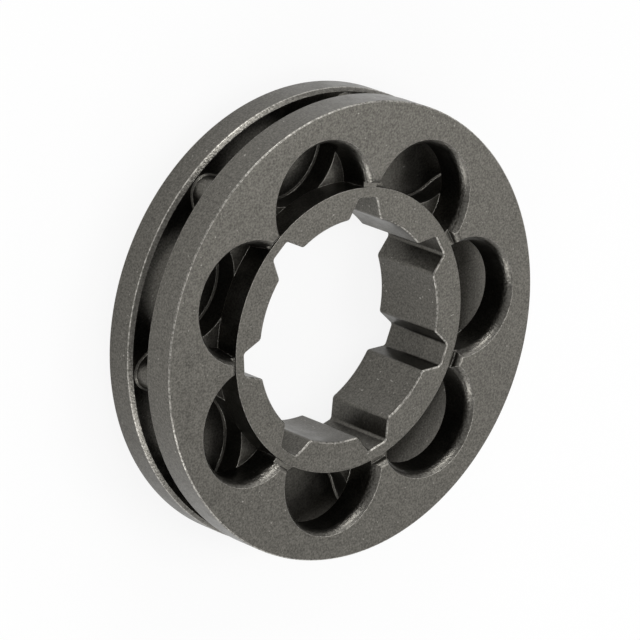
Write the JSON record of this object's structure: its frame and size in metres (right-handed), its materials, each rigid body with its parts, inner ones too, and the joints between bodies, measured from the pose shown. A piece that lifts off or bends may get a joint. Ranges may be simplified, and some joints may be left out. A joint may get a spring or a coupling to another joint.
{
  "type": "chainsaw rim sprocket",
  "caption": "Round rim sprocket for a saw chain, with a toothed wheel in a narrow slot between two flanges, round pockets through the front flange and a splined bore.",
  "frame": {"origin": "centre of the back face", "axes": "+Z along the bore axis, from the closed back flange to the pierced front flange; a pocket lies on +X and a tooth on -X"},
  "size_m": [0.0384, 0.0384, 0.0077],
  "materials": {
    "cast_steel": "fine-grained cast surface, dull dark grey, edges worn brighter"
  },
  "bodies": {
    "root": {"rim_sprocket": "cast_steel"}
  },
  "joints": []
}
